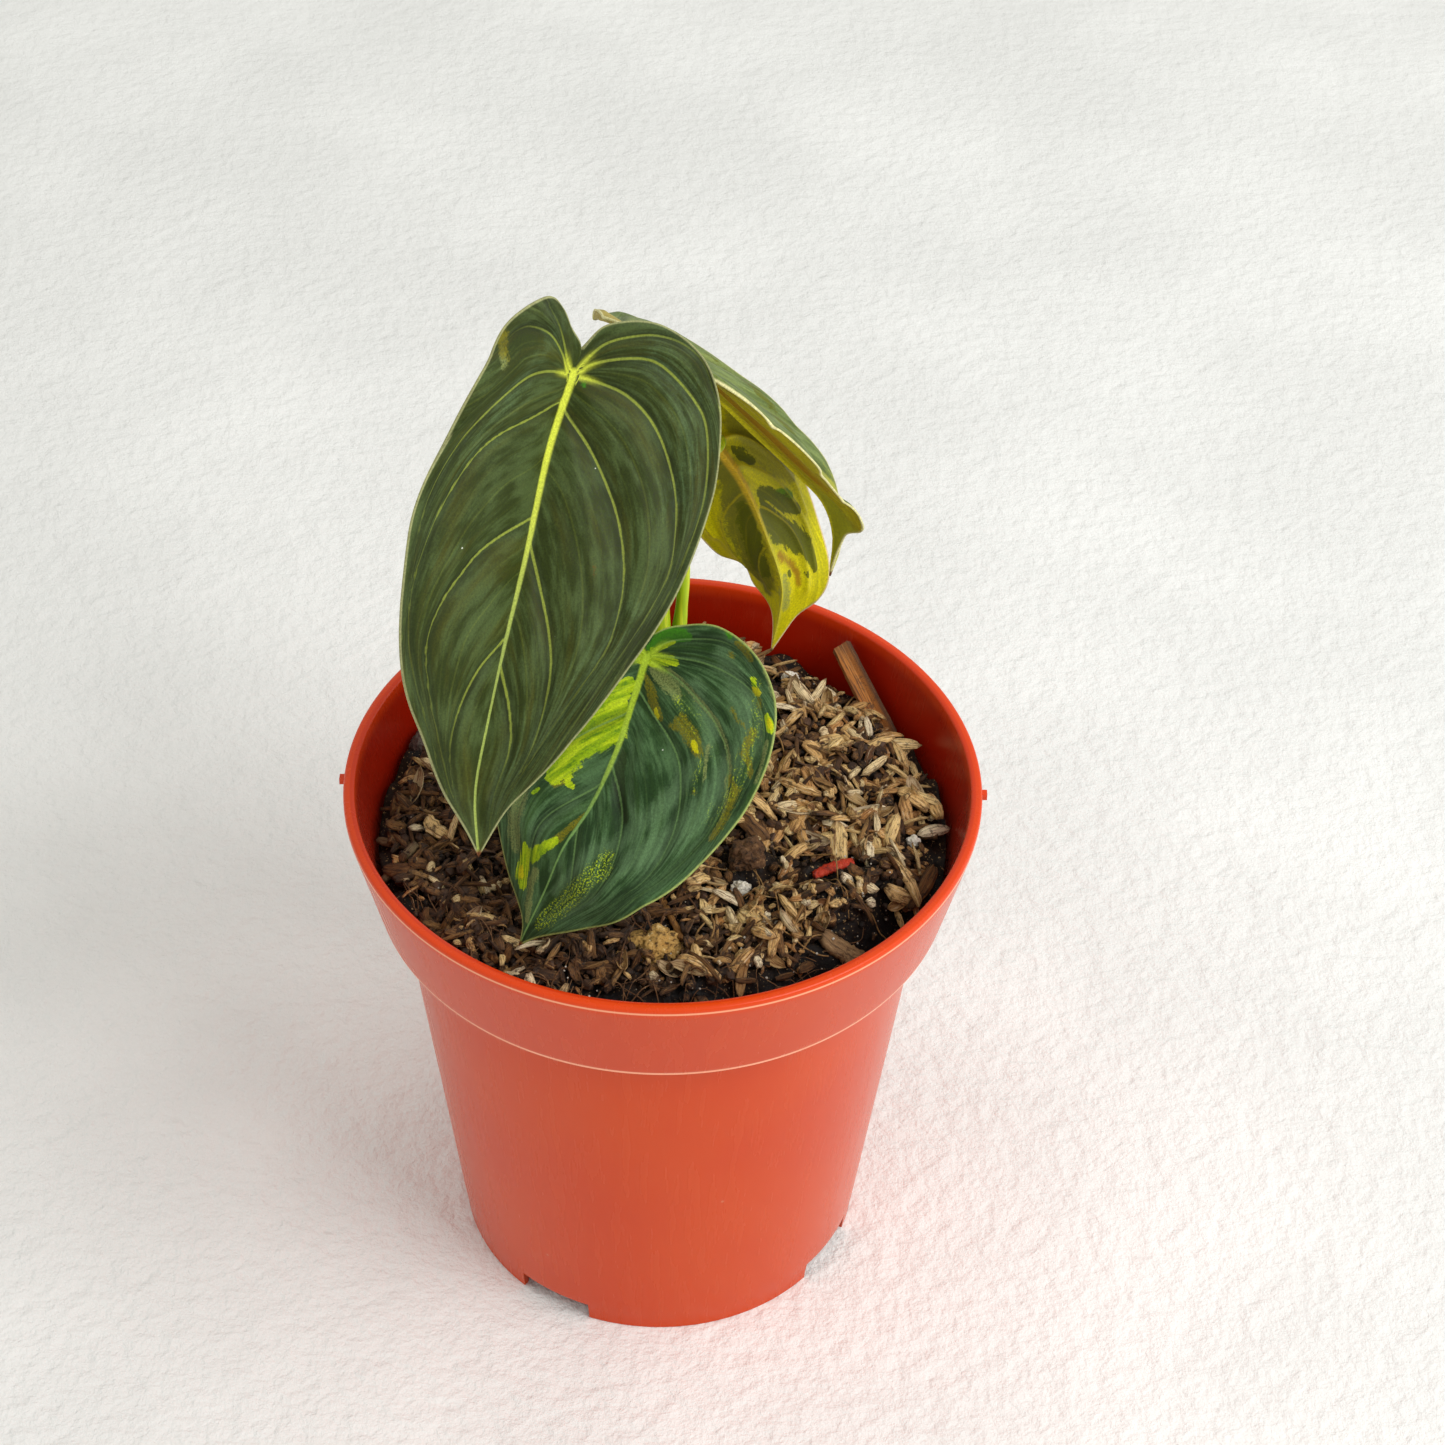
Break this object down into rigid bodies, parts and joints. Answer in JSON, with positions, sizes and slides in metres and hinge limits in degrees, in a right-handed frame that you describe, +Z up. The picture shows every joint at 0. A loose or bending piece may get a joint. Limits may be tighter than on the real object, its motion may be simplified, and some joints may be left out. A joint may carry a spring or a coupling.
{
  "type": "potted plant",
  "caption": "Young black gold philodendron: heart-shaped dark leaves with yellow-green veins and variegation, in a round terracotta-red nursery pot filled with a coarse bark mix",
  "frame": {"origin": "middle of the pot's foot, on the surface that the pot stands on", "axes": "+Z up the plant; -Y towards the viewer, the side the large leaf faces; +X to the viewer's right"},
  "size_m": [0.1222, 0.12, 0.2299],
  "materials": {
    "pot_plastic": "satin injection-moulded plastic, terracotta red",
    "bark_mix": "loose bark, coir and rice hulls, matte",
    "green_stem": "fleshy green stem, satin",
    "dark_leaf": "velvety dark olive leaf with pale veins",
    "variegated_leaf": "velvety blue-green leaf with lime variegation",
    "pale_leaf": "velvety grey-green leaf, orange-brown underside",
    "yellow_leaf": "leaf underside, yellow and olive, satin",
    "cork": "rough cork",
    "bark": "rough conifer bark",
    "stone": "rough, dusty",
    "perlite": "white expanded perlite, matte",
    "shard_plastic": "scuffed red-orange plastic",
    "twig": "dry twig, matte",
    "wood_stick": "split wood, matte"
  },
  "bodies": {
    "root": {"pot": "pot_plastic", "potting_mix": "bark_mix", "stem_and_petioles": "green_stem", "leaf_large_front": "dark_leaf", "leaf_small_front": "variegated_leaf", "leaf_rear_upper": "pale_leaf", "leaf_rear_lower": "yellow_leaf", "cork_chunk": "cork", "bark_lump": "bark", "stone": "stone", "perlite_grain_1": "perlite", "perlite_grain_2": "perlite", "perlite_grain_3": "perlite", "plastic_shard": "shard_plastic", "bark_flake": "bark", "twig_left": "twig", "twig_front_left": "twig", "twig_front": "twig", "wood_stick": "wood_stick"}
  },
  "joints": []
}
